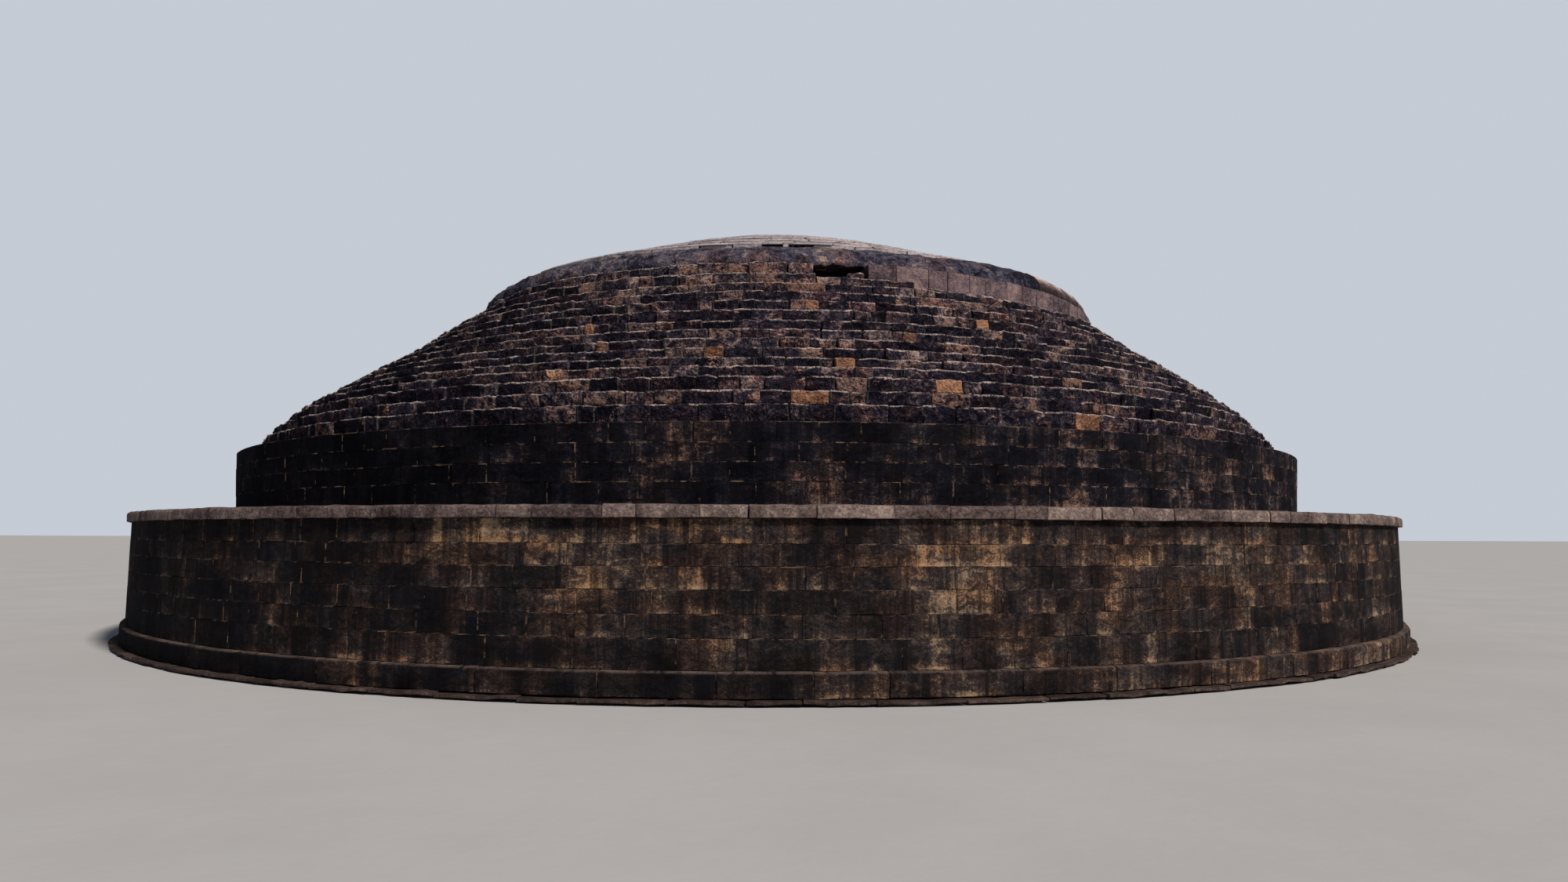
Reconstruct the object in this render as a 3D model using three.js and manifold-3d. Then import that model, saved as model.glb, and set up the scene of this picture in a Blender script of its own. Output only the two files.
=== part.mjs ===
// A solid masonry stupa: a battered lower drum on a footing, a terrace, an upper drum, a stepped
// dome of rough courses, a rounded cap that keeps half of its smooth facing, and a low crown.
// Every course is laid right across the mass, so it is a solid layer and the next one rests on it.
// Units are millimetres, +Z is up, and the origin is on the axis at ground level.
// The front is the -Y side, and azimuths turn from the front towards +X.

import * as THREE from "three";
import { mergeVertices } from "three/addons/utils/BufferGeometryUtils.js";
import Module from "manifold-3d";

// Driving dimensions
const FACETS = 64;
const FOOTING = { radius: 7680, height: 45 };
const BASE = { radius: 7590, height: 175, arris: 45 };
const LOWER_DRUM = { footRadius: 7535, headRadius: 7495, heights: [210, 160, 160, 155, 150, 170] };
const COPING = { radius: 7530, height: 95, arris: 30 };
const UPPER_DRUM = { radius: 6560, heights: [200, 150, 150, 155] };
const DOME_HEIGHTS = [170, 120, 130, 105, 95, 110, 110, 115, 115, 150, 125, 125, 115, 95];
const DOME_RADII = [6445, 6080, 5500, 4860, 4295]; // at even steps of height, from the shoulder up
const DOME_LEANS = [0, 20, 80, 100, 100]; // of the courses' centres towards +X, at the same steps
const CAP_LOW = { radius: 4090, height: 145 };
const CAP_BAND = { radius: 4030, headRadius: 3700, height: 310, fullness: 2.2 };
const FACING = { radius: 4150, lowDepth: 350, headRadius: 3650, seatRadius: 3600, fullness: 2.5 };
const POCKET = { depth: 600, from: 4.5, to: 12 };
const CROWN = { height: 1060, curve: 1.4, rimHeight: 45 };
const CROWN_HEADS = { crown_skirt: 3000, crown_slope: 2200, crown_mound: 1200, crown_top: 0 };

// The stretches of facing that are left, as azimuths in degrees
const LOW_FACING_ARC = { from: 12, to: 196, pieces: 4 };
const HIGH_FACING_ARC = { from: 44, to: 196, pieces: 3 };

const JOINT_GAP = 0.3; // between pieces whose curved or cut faces meet
const CLEAR_RADIUS = 5000; // beyond the whole cap, for the blocks that cut it
const CUT_HEIGHT = 1000; // above and below a course, for the same blocks
const SAME_POINT = 1e-3; // corners closer than this are one
const CURVE_POINTS = 200; // along the dome's height
const EDGE_STEPS = 6; // round a rounded edge

const wasm = await Module();
wasm.setup();

const stone = (color) => new THREE.MeshStandardMaterial({ color, roughness: 0.95, metalness: 0 });
const MATERIALS = {
  footing: stone(0x5a4a40),
  lowerDrum: stone(0x33291f),
  coping: stone(0x8b7a70),
  upperDrum: stone(0x1d1a1a),
  dome: stone(0x42332f),
  facing: stone(0x7a5c4c),
  crown: stone(0x94837c),
};

const stupa = new THREE.Group();
let level = 0; // the top of the masonry laid so far
let lean = 0; // how far towards +X the next course is centred

// Stands a geometry, whose foot is at height 0, on what is laid so far, as a named piece.
function place(name, geometry, material) {
  const mesh = new THREE.Mesh(geometry, material);
  mesh.name = name;
  mesh.position.set(lean, 0, level);
  stupa.add(mesh);
}

// A solid of revolution about +Z through [radius, height] points, from the axis to the axis.
function turned(outline) {
  const points = outline.map(([radius, height]) => new THREE.Vector2(radius, height));
  return new THREE.LatheGeometry(points, FACETS).rotateX(Math.PI / 2);
}

// A disc or frustum of masonry.
function layer(footRadius, headRadius, height) {
  return turned([[0, 0], [footRadius, 0], [headRadius, height], [0, height]]);
}

// A disc whose upper outer edge is rounded off.
function roundedLayer(radius, height, arris) {
  const slant = arris * (1 - Math.SQRT1_2);
  return turned([
    [0, 0],
    [radius, 0],
    [radius, height - arris],
    [radius - slant, height - slant],
    [radius - arris, height],
    [0, height],
  ]);
}

// Lays one course, so that the next one goes on top of it.
function lay(name, geometry, material, height) {
  place(name, geometry, material);
  level += height;
}

// A closed geometry as a solid for joining and cutting, and back.
function solidOf(geometry) {
  const bare = geometry.clone();
  bare.deleteAttribute("normal");
  bare.deleteAttribute("uv");
  const merged = mergeVertices(bare, SAME_POINT);
  return new wasm.Manifold(new wasm.Mesh({
    numProp: 3,
    vertProperties: merged.attributes.position.array,
    triVerts: new Uint32Array(merged.index.array),
  }));
}

function geometryOf(solid) {
  const mesh = solid.getMesh();
  return new THREE.BufferGeometry()
    .setAttribute("position", new THREE.BufferAttribute(mesh.vertProperties, 3))
    .setIndex(new THREE.BufferAttribute(mesh.triVerts, 1));
}

// A tall ring-shaped block between two radii and two azimuths, for cutting an arc out of a course.
function arcBlock(innerRadius, outerRadius, fromDegrees, toDegrees) {
  const from = THREE.MathUtils.degToRad(fromDegrees - 90);
  const to = THREE.MathUtils.degToRad(toDegrees - 90);
  const plan = new THREE.Shape();
  plan.absarc(0, 0, outerRadius, from, to, false);
  plan.absarc(0, 0, innerRadius, to, from, true);
  plan.closePath();
  const steps = Math.ceil((FACETS * (toDegrees - fromDegrees)) / 360);
  return new THREE.ExtrudeGeometry(plan, {
    depth: 2 * CUT_HEIGHT,
    bevelEnabled: false,
    curveSegments: steps,
  }).translate(0, 0, -CUT_HEIGHT);
}

// A smooth curve through values at even steps of the dome's height, as a function of the rise.
function alongDome(values, domeRise) {
  const step = domeRise / (values.length - 1);
  const knots = values.map((value, i) => new THREE.Vector2(value, i * step));
  const points = new THREE.SplineCurve(knots).getPoints(CURVE_POINTS);
  return (rise) => {
    const next = Math.max(1, points.findIndex((point) => point.y >= rise));
    const [a, b] = [points[next - 1], points[next]];
    return THREE.MathUtils.mapLinear(rise, a.y, b.y, a.x, b.x);
  };
}

// A rounded edge, from its foot up to its head, as [radius, height] points. A fullness of 2 makes a
// quarter of an ellipse, and more makes it squarer.
function roundedEdge({ radius, headRadius, fullness }, height) {
  return Array.from({ length: EDGE_STEPS + 1 }, (_, i) => {
    const turn = (i / EDGE_STEPS) * (Math.PI / 2);
    const out = Math.cos(turn) ** (2 / fullness);
    const up = Math.sin(turn) ** (2 / fullness);
    return [headRadius + (radius - headRadius) * out, height * up];
  });
}

function layFootingAndBase() {
  lay("footing", layer(FOOTING.radius, FOOTING.radius, FOOTING.height), MATERIALS.footing, FOOTING.height);
  lay("base_course", roundedLayer(BASE.radius, BASE.height, BASE.arris), MATERIALS.lowerDrum, BASE.height);
}

function layLowerDrum() {
  const { footRadius, headRadius, heights } = LOWER_DRUM;
  const rise = heights.reduce((sum, height) => sum + height, 0);
  const batter = (height) => THREE.MathUtils.mapLinear(height, 0, rise, footRadius, headRadius);
  let foot = 0;
  heights.forEach((height, i) => {
    const geometry = layer(batter(foot), batter(foot + height), height);
    lay(`lower_drum_course_${i + 1}`, geometry, MATERIALS.lowerDrum, height);
    foot += height;
  });
  const coping = roundedLayer(COPING.radius, COPING.height, COPING.arris);
  lay("coping_course", coping, MATERIALS.coping, COPING.height);
}

function layUpperDrum() {
  const { radius, heights } = UPPER_DRUM;
  heights.forEach((height, i) => {
    lay(`upper_drum_course_${i + 1}`, layer(radius, radius, height), MATERIALS.upperDrum, height);
  });
}

// Each dome course is set back behind the one below it, so the dome climbs in narrow steps.
function layDome() {
  const domeRise = DOME_HEIGHTS.reduce((sum, height) => sum + height, 0);
  const radiusAt = alongDome(DOME_RADII, domeRise);
  const leanAt = alongDome(DOME_LEANS, domeRise);
  let rise = 0;
  DOME_HEIGHTS.forEach((height, i) => {
    rise += height;
    lean = Math.round(leanAt(rise));
    const radius = radiusAt(rise);
    const number = String(i + 1).padStart(2, "0");
    lay(`dome_course_${number}`, layer(radius, radius, height), MATERIALS.dome, height);
  });
}

// Cuts the stretches of facing that are left out of a full ring, and places them.
function placeFacing(name, ring, arc, backRadius) {
  const play = THREE.MathUtils.radToDeg(JOINT_GAP / backRadius);
  const backed = solidOf(arcBlock(backRadius + JOINT_GAP, CLEAR_RADIUS, arc.from, arc.to));
  const stretch = ring.intersect(backed);
  const sweep = (arc.to - arc.from) / arc.pieces;
  for (let i = 0; i < arc.pieces; i++) {
    const from = arc.from + i * sweep;
    const sector = arcBlock(backRadius / 2, CLEAR_RADIUS, from + play, from + sweep - play);
    const piece = stretch.intersect(solidOf(sector));
    place(`${name}_${i + 1}`, geometryOf(piece), MATERIALS.facing);
  }
}

// The low course of the cap: rough core stones, a pocket where one is lost, and facing beside it.
function layLowCourse() {
  const { radius, height } = CAP_LOW;
  const backRadius = FACING.radius - FACING.lowDepth;
  const seat = solidOf(arcBlock(backRadius, CLEAR_RADIUS, LOW_FACING_ARC.from, LOW_FACING_ARC.to));
  const pocket = solidOf(arcBlock(radius - POCKET.depth, CLEAR_RADIUS, POCKET.from, POCKET.to));
  const core = solidOf(layer(radius, radius, height)).subtract(seat).subtract(pocket);
  const ring = solidOf(layer(FACING.radius, FACING.radius, height));
  placeFacing("low_facing", ring, LOW_FACING_ARC, backRadius);
  lay("cap_low_course", geometryOf(core), MATERIALS.dome, height);
}

// The band above it: a rounded mortared bed, with the rounded upper facing left on one half.
function layBand() {
  const { height } = CAP_BAND;
  const { from, to } = HIGH_FACING_ARC;
  const seat = solidOf(arcBlock(FACING.seatRadius, CLEAR_RADIUS, from, to));
  const core = solidOf(turned([[0, 0], ...roundedEdge(CAP_BAND, height), [0, height]])).subtract(seat);
  const ring = solidOf(turned([[0, 0], ...roundedEdge(FACING, height), [0, height]]));
  placeFacing("high_facing", ring, HIGH_FACING_ARC, FACING.seatRadius);
  lay("cap_band", geometryOf(core), MATERIALS.dome, height);
}

// How high the crown's curve stands above the cap at a radius.
function crownRise(radius) {
  return CROWN.height * (1 - (radius / CAP_BAND.headRadius) ** CROWN.curve);
}

// The crown: a low rim of slabs, and layers that follow the crown's curve up to its top.
function layCrown() {
  let footRadius = CAP_BAND.headRadius - CROWN.rimHeight;
  lay("crown_rim", layer(footRadius, footRadius, CROWN.rimHeight), MATERIALS.crown, CROWN.rimHeight);
  let rise = CROWN.rimHeight;
  Object.entries(CROWN_HEADS).forEach(([name, headRadius]) => {
    const middle = (footRadius + headRadius) / 2;
    const headRise = Math.round(crownRise(headRadius));
    const height = headRise - rise;
    const head = headRadius > 0 ? [[headRadius, height], [0, height]] : [[0, height]];
    const side = [[footRadius, 0], [middle, crownRise(middle) - rise]];
    lay(name, turned([[0, 0], ...side, ...head]), MATERIALS.crown, height);
    footRadius = headRadius;
    rise = headRise;
  });
}

layFootingAndBase();
layLowerDrum();
layUpperDrum();
layDome();
layLowCourse();
layBand();
layCrown();

export default stupa;
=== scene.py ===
# %% [markdown]
# # Dressing a masonry stupa, stone by stone
#
# A stupa is a solid mound of masonry. This one is low and wide: a drum of smooth courses under a
# pale coping, a narrower drum above it, a dome whose facing is lost so that its rough courses climb
# in steps, a rounded cap that keeps part of its smooth facing, and a low crown of mortared slabs.
# The frame holds every course as one plain solid at its real size. This script lays the stones of
# each course in the place of that solid, and gives each kind of stone its finish.

# %% The frame
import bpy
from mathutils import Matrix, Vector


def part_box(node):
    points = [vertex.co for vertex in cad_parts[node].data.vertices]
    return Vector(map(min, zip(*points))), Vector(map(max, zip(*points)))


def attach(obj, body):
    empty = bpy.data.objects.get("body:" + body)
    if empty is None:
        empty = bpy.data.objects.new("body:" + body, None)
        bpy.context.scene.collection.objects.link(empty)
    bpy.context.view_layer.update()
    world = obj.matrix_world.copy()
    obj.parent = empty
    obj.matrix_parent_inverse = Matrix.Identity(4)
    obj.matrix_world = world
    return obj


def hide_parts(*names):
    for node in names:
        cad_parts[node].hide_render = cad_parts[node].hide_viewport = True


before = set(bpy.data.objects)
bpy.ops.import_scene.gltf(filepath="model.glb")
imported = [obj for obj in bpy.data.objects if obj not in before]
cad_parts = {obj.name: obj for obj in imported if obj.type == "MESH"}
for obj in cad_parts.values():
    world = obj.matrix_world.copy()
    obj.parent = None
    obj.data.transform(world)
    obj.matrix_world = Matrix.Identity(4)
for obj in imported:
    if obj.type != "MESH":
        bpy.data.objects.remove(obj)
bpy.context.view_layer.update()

# %% What the rest of the script uses
import math
import random
from collections import namedtuple

import bmesh
import bpy
from mathutils import Matrix, Vector, noise

# %% [markdown]
# ## The camera
#
# The photograph was taken from close by, at chest height, with the horizon far down in the frame. A
# camera that is only tilted up would make the walls lean, so a lens shift moves the frame up and
# leaves the upright lines upright. The sizes in pixels are those of the photograph's frame. The
# floor runs on to the horizon, so the lens also has to see far.

# %% The camera
FRAME_WIDTH = 2000
FRAME_HEIGHT = 1125
FOCAL_PIXELS = 1308.3
OPTICAL_CENTRE_Y = 656.06
SENSOR_WIDTH = 36
FARTHEST = 2000
EYE = Vector((0, -14.27, 1.10))
TURN_RIGHT = 0.0135
TILT_UP = 0.0221
ROLL = 0.0039


def put_in_scene(name, data):
    """Makes an object of a camera, a light or a mesh."""
    thing = bpy.data.objects.new(name, data)
    bpy.context.scene.collection.objects.link(thing)
    return thing


lens = bpy.data.cameras.new("camera")
lens.sensor_width = SENSOR_WIDTH
lens.lens = SENSOR_WIDTH * FOCAL_PIXELS / FRAME_WIDTH
lens.shift_y = (OPTICAL_CENTRE_Y - FRAME_HEIGHT / 2) / FRAME_WIDTH
lens.clip_end = FARTHEST
camera = put_in_scene("camera", lens)
aim = Matrix.Rotation(-TURN_RIGHT, 4, "Z") @ Matrix.Rotation(math.pi / 2 + TILT_UP, 4, "X")
camera.matrix_world = Matrix.Translation(EYE) @ aim @ Matrix.Rotation(ROLL, 4, "Z")
bpy.context.scene.camera = camera
print("lens", round(lens.lens, 2), "mm, shift", round(lens.shift_y, 4))

# %% [markdown]
# ## The light
#
# Dark stone needs a strong key light to show its relief, and a bright surround to show its outline.
# The key is one soft sun from the upper right, as the pale upper arrises and the dark left side of
# the stone ask for. The surround is an even pale grey. It lights the stone with a dimmer, bluer grey
# than it shows behind it, because its full strength would wash the shadows out of the courses.

# %% The key light
KEY_AZIMUTH = 46
KEY_HEIGHT = 50
KEY_STRENGTH = 3.25
KEY_SOFTNESS = 8
KEY_COLOUR = (1.0, 0.94, 0.87)

sun = bpy.data.lights.new("key", "SUN")
sun.energy = KEY_STRENGTH
sun.angle = math.radians(KEY_SOFTNESS)
sun.color = KEY_COLOUR
key = put_in_scene("key", sun)
key.rotation_euler = (math.radians(90 - KEY_HEIGHT), 0, math.radians(KEY_AZIMUTH))
print("key light:", KEY_HEIGHT, "degrees up and", KEY_AZIMUTH, "to the right")

# %% The surround
SURROUND_SEEN = (0.56, 0.60, 0.66)
SURROUND_LIGHT = (0.125, 0.15, 0.205)
# A Mix node has its sockets for colours after those for numbers and vectors.
FIRST_COLOUR = 6
SECOND_COLOUR = 7
MIXED_COLOUR = 2

world = bpy.data.worlds.new("surround")
bpy.context.scene.world = world
world.use_nodes = True
backdrop = world.node_tree.nodes["Background"]
seen = world.node_tree.nodes.new("ShaderNodeLightPath")
grey = world.node_tree.nodes.new("ShaderNodeMix")
grey.data_type = "RGBA"
grey.inputs[FIRST_COLOUR].default_value = (*SURROUND_LIGHT, 1)
grey.inputs[SECOND_COLOUR].default_value = (*SURROUND_SEEN, 1)
world.node_tree.links.new(seen.outputs["Is Camera Ray"], grey.inputs[0])
world.node_tree.links.new(grey.outputs[MIXED_COLOUR], backdrop.inputs["Color"])
bpy.context.scene.view_settings.view_transform = "Standard"
print("surround: seen as", SURROUND_SEEN, "and lighting as", SURROUND_LIGHT)

# %% [markdown]
# ## Finishes as node trees
#
# Every finish here is a pattern in the material, with no image. A small class keeps the node trees
# short to write: each of its methods adds one node and gives back that node's output, so a finish
# reads like a recipe. The numbers in a recipe are how many bumps a noise has for each metre, how
# much it counts in a sum, and between which values a layer comes in.

# %% A recipe book for finishes
class Finish:
    """One material, whose methods each add a node and return its output."""

    def __init__(self, name, roughness=0.92, specular=0.08):
        self.material = bpy.data.materials.new(name)
        self.material.use_nodes = True
        self.tree = self.material.node_tree
        self.shader = self.tree.nodes["Principled BSDF"]
        self.shader.inputs["Roughness"].default_value = roughness
        self.shader.inputs["Specular IOR Level"].default_value = specular
        coordinates = self.add("ShaderNodeTexCoord")
        self.place = coordinates.outputs["Object"]
        self.facing = coordinates.outputs["Normal"]

    def add(self, kind, sockets=None, **settings):
        node = self.tree.nodes.new(kind)
        for key, value in settings.items():
            setattr(node, key, value)
        for key, value in (sockets or {}).items():
            if isinstance(value, bpy.types.NodeSocket):
                self.tree.links.new(value, node.inputs[key])
            else:
                node.inputs[key].default_value = value
        return node

    def math(self, operation, a, b=0.0, c=0.0):
        return self.add("ShaderNodeMath", {0: a, 1: b, 2: c}, operation=operation).outputs[0]

    def times(self, first, *others):
        for other in others:
            first = self.math("MULTIPLY", first, other)
        return first

    def plus(self, base, value, weight):
        """The base and so much of the value."""
        return self.math("MULTIPLY_ADD", value, weight, base)

    def blend(self, centre, *pairs):
        """Noises added up by weight about a centre value, since each of them is 0.5 on average."""
        whole = centre - 0.5 * sum(weight for _, weight in pairs)
        for value, weight in pairs:
            whole = self.plus(whole, value, weight)
        return whole

    def rise(self, value, low, high):
        """0 at low, 1 at high, and a smooth rise between them; low may be above high."""
        sockets = {"Value": value, "From Min": low, "From Max": high}
        return self.add("ShaderNodeMapRange", sockets, interpolation_type="SMOOTHSTEP").outputs[0]

    def parts(self, vector):
        """The X, Y and Z of a vector."""
        return self.add("ShaderNodeSeparateXYZ", {0: vector}).outputs

    def join(self, x, y, z):
        return self.add("ShaderNodeCombineXYZ", {0: x, 1: y, 2: z}).outputs[0]

    def stretch(self, vector, factors, shift=(0, 0, 0)):
        sockets = {0: vector, 1: factors, 2: shift}
        return self.add("ShaderNodeVectorMath", sockets, operation="MULTIPLY_ADD").outputs[0]

    def noise(self, vector, factors, detail, rough=0.6, warp=0.0, shift=(0, 0, 0)):
        """A noise with so many bumps for each metre along the three axes."""
        sockets = {"Vector": self.stretch(vector, factors, shift), "Scale": 1.0, "Detail": detail}
        sockets.update({"Roughness": rough, "Distortion": warp})
        return self.add("ShaderNodeTexNoise", sockets).outputs["Fac"]

    def ramp(self, value, *stops):
        """Colours along 0 to 1, from pairs of a place and a colour."""
        node = self.add("ShaderNodeValToRGB", {"Fac": value})
        keys = node.color_ramp.elements
        keys[0].color = (*stops[0][1], 1)
        keys[1].color = (*stops[-1][1], 1)
        for place, colour in stops[1:-1]:
            keys.new(place).color = (*colour, 1)
        return node.outputs["Color"]

    def mix(self, factor, a, b, blend="MIX"):
        node = self.add("ShaderNodeMix", {0: factor}, data_type="RGBA", blend_type=blend)
        for index, colour in ((FIRST_COLOUR, a), (SECOND_COLOUR, b)):
            if isinstance(colour, bpy.types.NodeSocket):
                self.tree.links.new(colour, node.inputs[index])
            else:
                node.inputs[index].default_value = (*colour, 1)
        return node.outputs[MIXED_COLOUR]

    def relief(self, height, distance, after=None):
        node = self.add("ShaderNodeBump", {"Height": height, "Distance": distance})
        if after is not None:
            self.tree.links.new(after, node.inputs["Normal"])
        return node.outputs[0]

    def finish(self, colour, normal):
        self.tree.links.new(colour, self.shader.inputs["Base Color"])
        self.tree.links.new(normal, self.shader.inputs["Normal"])
        return self.material


# %% [markdown]
# ## What every stone tells its finish
#
# The crust, the stains and the pale joint lines follow the stones, so each stone carries its own
# facts as mesh attributes. The UV map called wall is measured in metres along the course and up. The
# attribute called stone holds the middle of the stone on that map and half its length and height, so
# a finish can tell how far it is from an edge. The attribute called tone holds a shade, an amount of
# ochre, a seed that moves the patterns, and the strength of the tool marks.

# %% A finish that knows its stones
SEED_SHIFT = 9.0
# Along X, where the painted shade of the left side and of the far right comes in.
LEFT_SHADE_RANGE = (-7.5, 1.0)
FAR_RIGHT = (0.5, 4.0)
RAGGED = (0.40, 0.62)
LINE_START = -0.002
LINE_SOFTNESS = 0.0015


class StoneFinish(Finish):
    """A finish for pieces that are laid as stones, with distances from the stone's own edges."""

    def __init__(self, name, **settings):
        super().__init__(name, **settings)
        self.across, _, self.level = self.parts(self.place)
        self.upward = self.parts(self.facing)[2]
        self.wall = self.add("ShaderNodeUVMap", uv_map="wall").outputs["UV"]
        self.along, self.up, _ = self.parts(self.wall)
        facts = self.add("ShaderNodeAttribute", attribute_name="stone")
        middle, self.course, half_length = self.parts(facts.outputs["Color"])
        from_middle = self.math("ABSOLUTE", self.math("SUBTRACT", self.along, middle))
        from_course = self.math("SUBTRACT", self.up, self.course)
        self.side = self.math("SUBTRACT", half_length, from_middle)
        self.top = self.math("SUBTRACT", facts.outputs["Alpha"], from_course)
        self.foot = self.math("ADD", facts.outputs["Alpha"], from_course)
        tones = self.add("ShaderNodeAttribute", attribute_name="tone")
        self.shade, self.ochre, self.seed = self.parts(tones.outputs["Color"])
        self.tooling = tones.outputs["Alpha"]
        self.own = self.join(0, 0, self.times(self.seed, SEED_SHIFT))

    def sides(self, left, right):
        """Painted shade towards the left side and the far right, or painted light where an amount is below
        0.
        """
        return (self.rise(self.across, *LEFT_SHADE_RANGE), left), (self.rise(self.across, *FAR_RIGHT), -right)

    def joint_lines(self, ragged, width):
        """1 on the stone's edges, within a width that the ragged value eats away."""
        nearest = self.math("MINIMUM", self.side, self.math("MINIMUM", self.top, self.foot))
        reach = self.plus(LINE_START, self.rise(ragged, *RAGGED), width - LINE_START)
        return self.rise(self.math("SUBTRACT", nearest, reach), LINE_SOFTNESS, -LINE_SOFTNESS)


# %% [markdown]
# ## The crusted drums
#
# Rain has left a nearly black crust on the smooth courses, worn through to brown and tan. Each
# pattern in the wear has a cause. Broad clouds are where the wall stays dry. Banners hang from joint
# to joint, because water that runs over one stone's face stops at the next bed. Fine streaks follow
# the rain, brush marks and grain are the stone's own, and the foot of a stone wears first. A painted
# shade darkens the left side and, by its own amount, the far right, and the foot of the wall is
# splashed, so the sum also reads the X and Z coordinates.

# %% How far the crust is worn
COURSE_SHIFT = 9.0
SPLASHED = (0.25, 0.90)


def crust_wear_and_side_shade(book, dryness, left_shade, right_shade):
    """The wear of the crust with painted shade on the sides, the map that its banners hang on, and its
    brush marks and grain.
    """
    hanging = book.join(book.along, book.times(book.course, COURSE_SHIFT), 0)
    cloud = book.noise(book.wall, (0.9, 1.7, 1), 4, 0.6, 0.5)
    banner = book.noise(hanging, (3.4, 3.3, 1), 5, 0.65, 0.3)
    brush = book.noise(book.wall, (9, 13, 1), 7, 0.75, 1.0, book.own)
    rain = book.noise(book.wall, (32, 2.4, 1), 6, 0.7, 0.2)
    grain = book.noise(book.wall, (70, 70, 1), 6, 0.8, shift=book.own)
    above_splash = book.rise(book.level, *SPLASHED)
    foot_wear = book.times(book.rise(book.foot, 0.06, 0.0), book.rise(banner, 0.4, 0.65))
    # The sides add painted shade on the left and at the far right.
    wear = book.blend(dryness, (cloud, 0.9), (banner, 0.9), (brush, 1.0), (rain, 0.35), (grain, 0.9),
                      (book.shade, 0.10), (above_splash, 0.09), *book.sides(left_shade, right_shade))
    return book.plus(wear, foot_wear, 0.16), hanging, brush, grain


# %% [markdown]
# The wear runs through one ramp from crust to bare stone, and the steep upper end of the ramp gives
# the bare patches crisp borders. Soot, rust, pale specks and the lines of the joints are laid over
# it, each where its own noise lets it through. The lip is the worn edge of the base course, with a
# painted highlight where it faces up.

# %% The finish of the smooth courses
CRUST_TO_STONE = (
    (0.00, (0.0034, 0.0036, 0.0054)),
    (0.26, (0.0085, 0.0080, 0.0100)),
    (0.40, (0.0178, 0.0148, 0.0162)),
    (0.52, (0.0390, 0.0295, 0.0285)),
    (0.62, (0.0710, 0.0520, 0.0455)),
    (0.69, (0.1750, 0.1200, 0.0820)),
    (0.80, (0.3500, 0.2350, 0.1450)),
    (1.00, (0.5400, 0.4000, 0.2700)),
)
BLACK_TO_STONE = (
    (0.00, (0.0008, 0.0011, 0.0026)),
    (0.28, (0.0030, 0.0032, 0.0058)),
    (0.50, (0.0098, 0.0098, 0.0152)),
    (0.62, (0.0215, 0.0190, 0.0260)),
    (0.69, (0.0560, 0.0410, 0.0440)),
    (0.78, (0.1900, 0.1300, 0.1120)),
    (1.00, (0.4200, 0.3000, 0.2350)),
)
SOOT = (0.0075, 0.0072, 0.0095)
RUST = (1.15, 0.94, 0.80)
JOINT_TAN = (0.26, 0.175, 0.12)
JOINT_DARK = (0.008, 0.007, 0.008)
# The worn lip, with a painted highlight where it faces up.
LIP_WEAR_AND_HIGHLIGHT = (0.125, 0.090, 0.078)
SPECKLE = (0.40, 0.32, 0.25)


def crusted_ashlar(name, tones, dryness, left_shade, right_shade, lines, lit_and_worn_lip=0.0):
    book = StoneFinish(name, specular=0.06)
    wear, hanging, brush, grain = crust_wear_and_side_shade(book, dryness, left_shade, right_shade)
    colour = book.ramp(wear, *tones)
    soot = book.noise(hanging, (6.5, 3.3, 1), 6, 0.7, 0.2, (4, 9, 2))
    soot = book.rise(book.plus(soot, brush, 0.35), 0.72, 0.78)
    colour = book.mix(book.times(soot, 0.75), colour, SOOT)
    rusty = book.rise(book.noise(book.wall, (2.4, 3.6, 1), 4, shift=(7, 3, 5)), 0.43, 0.58)
    colour = book.mix(rusty, colour, RUST, "MULTIPLY")
    speckle = book.rise(book.noise(book.wall, (150, 150, 1), 2, 0.6), 0.64, 0.70)
    speckle = book.times(speckle, book.rise(wear, 0.42, 0.70))
    colour = book.mix(book.times(speckle, 0.6), colour, SPECKLE)
    line = book.joint_lines(book.noise(book.wall, (12, 12, 1), 5, 0.7), 0.006)
    pale = book.rise(book.noise(book.wall, (4, 6, 1), 4, 0.6, shift=(3, 1, 4)), 0.46, 0.53)
    line_colour = book.mix(pale, JOINT_DARK, JOINT_TAN)
    colour = book.mix(book.times(line, lines), colour, line_colour)
    if lit_and_worn_lip:
        # Where the lip faces up it is worn and painted lighter, as a painted highlight.
        lip_wear_and_highlight = book.times(book.rise(book.upward, 0.40, 0.80), lit_and_worn_lip, book.rise(brush, 0.35, 0.55))
        colour = book.mix(lip_wear_and_highlight, colour, LIP_WEAR_AND_HIGHLIGHT)
    scrape = book.noise(book.wall, (7, 60, 1), 3, 0.6, shift=book.own)
    height = book.blend(0, (brush, 0.8), (grain, 0.7), (scrape, 0.35), (line, -0.3))
    return book.finish(colour, book.relief(height, 0.008))


# Each drum has its own painted shade on the left side and at the far right; an amount below 0 paints light
# there instead.
DRUM_FINISH = crusted_ashlar(
    "crusted_drum_stone", CRUST_TO_STONE, dryness=0.305, left_shade=0.33, right_shade=0.09, lines=0.6)
BASE_FINISH = crusted_ashlar(
    "crusted_base_stone", CRUST_TO_STONE, dryness=0.315, left_shade=0.40, right_shade=-0.08, lines=0.5,
    lit_and_worn_lip=0.6)
BLACK_FINISH = crusted_ashlar(
    "blackened_drum_stone", BLACK_TO_STONE, dryness=0.335, left_shade=0.27, right_shade=-0.06, lines=0.75)
print("finishes of the drums:", DRUM_FINISH.name, BASE_FINISH.name, BLACK_FINISH.name)

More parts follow.
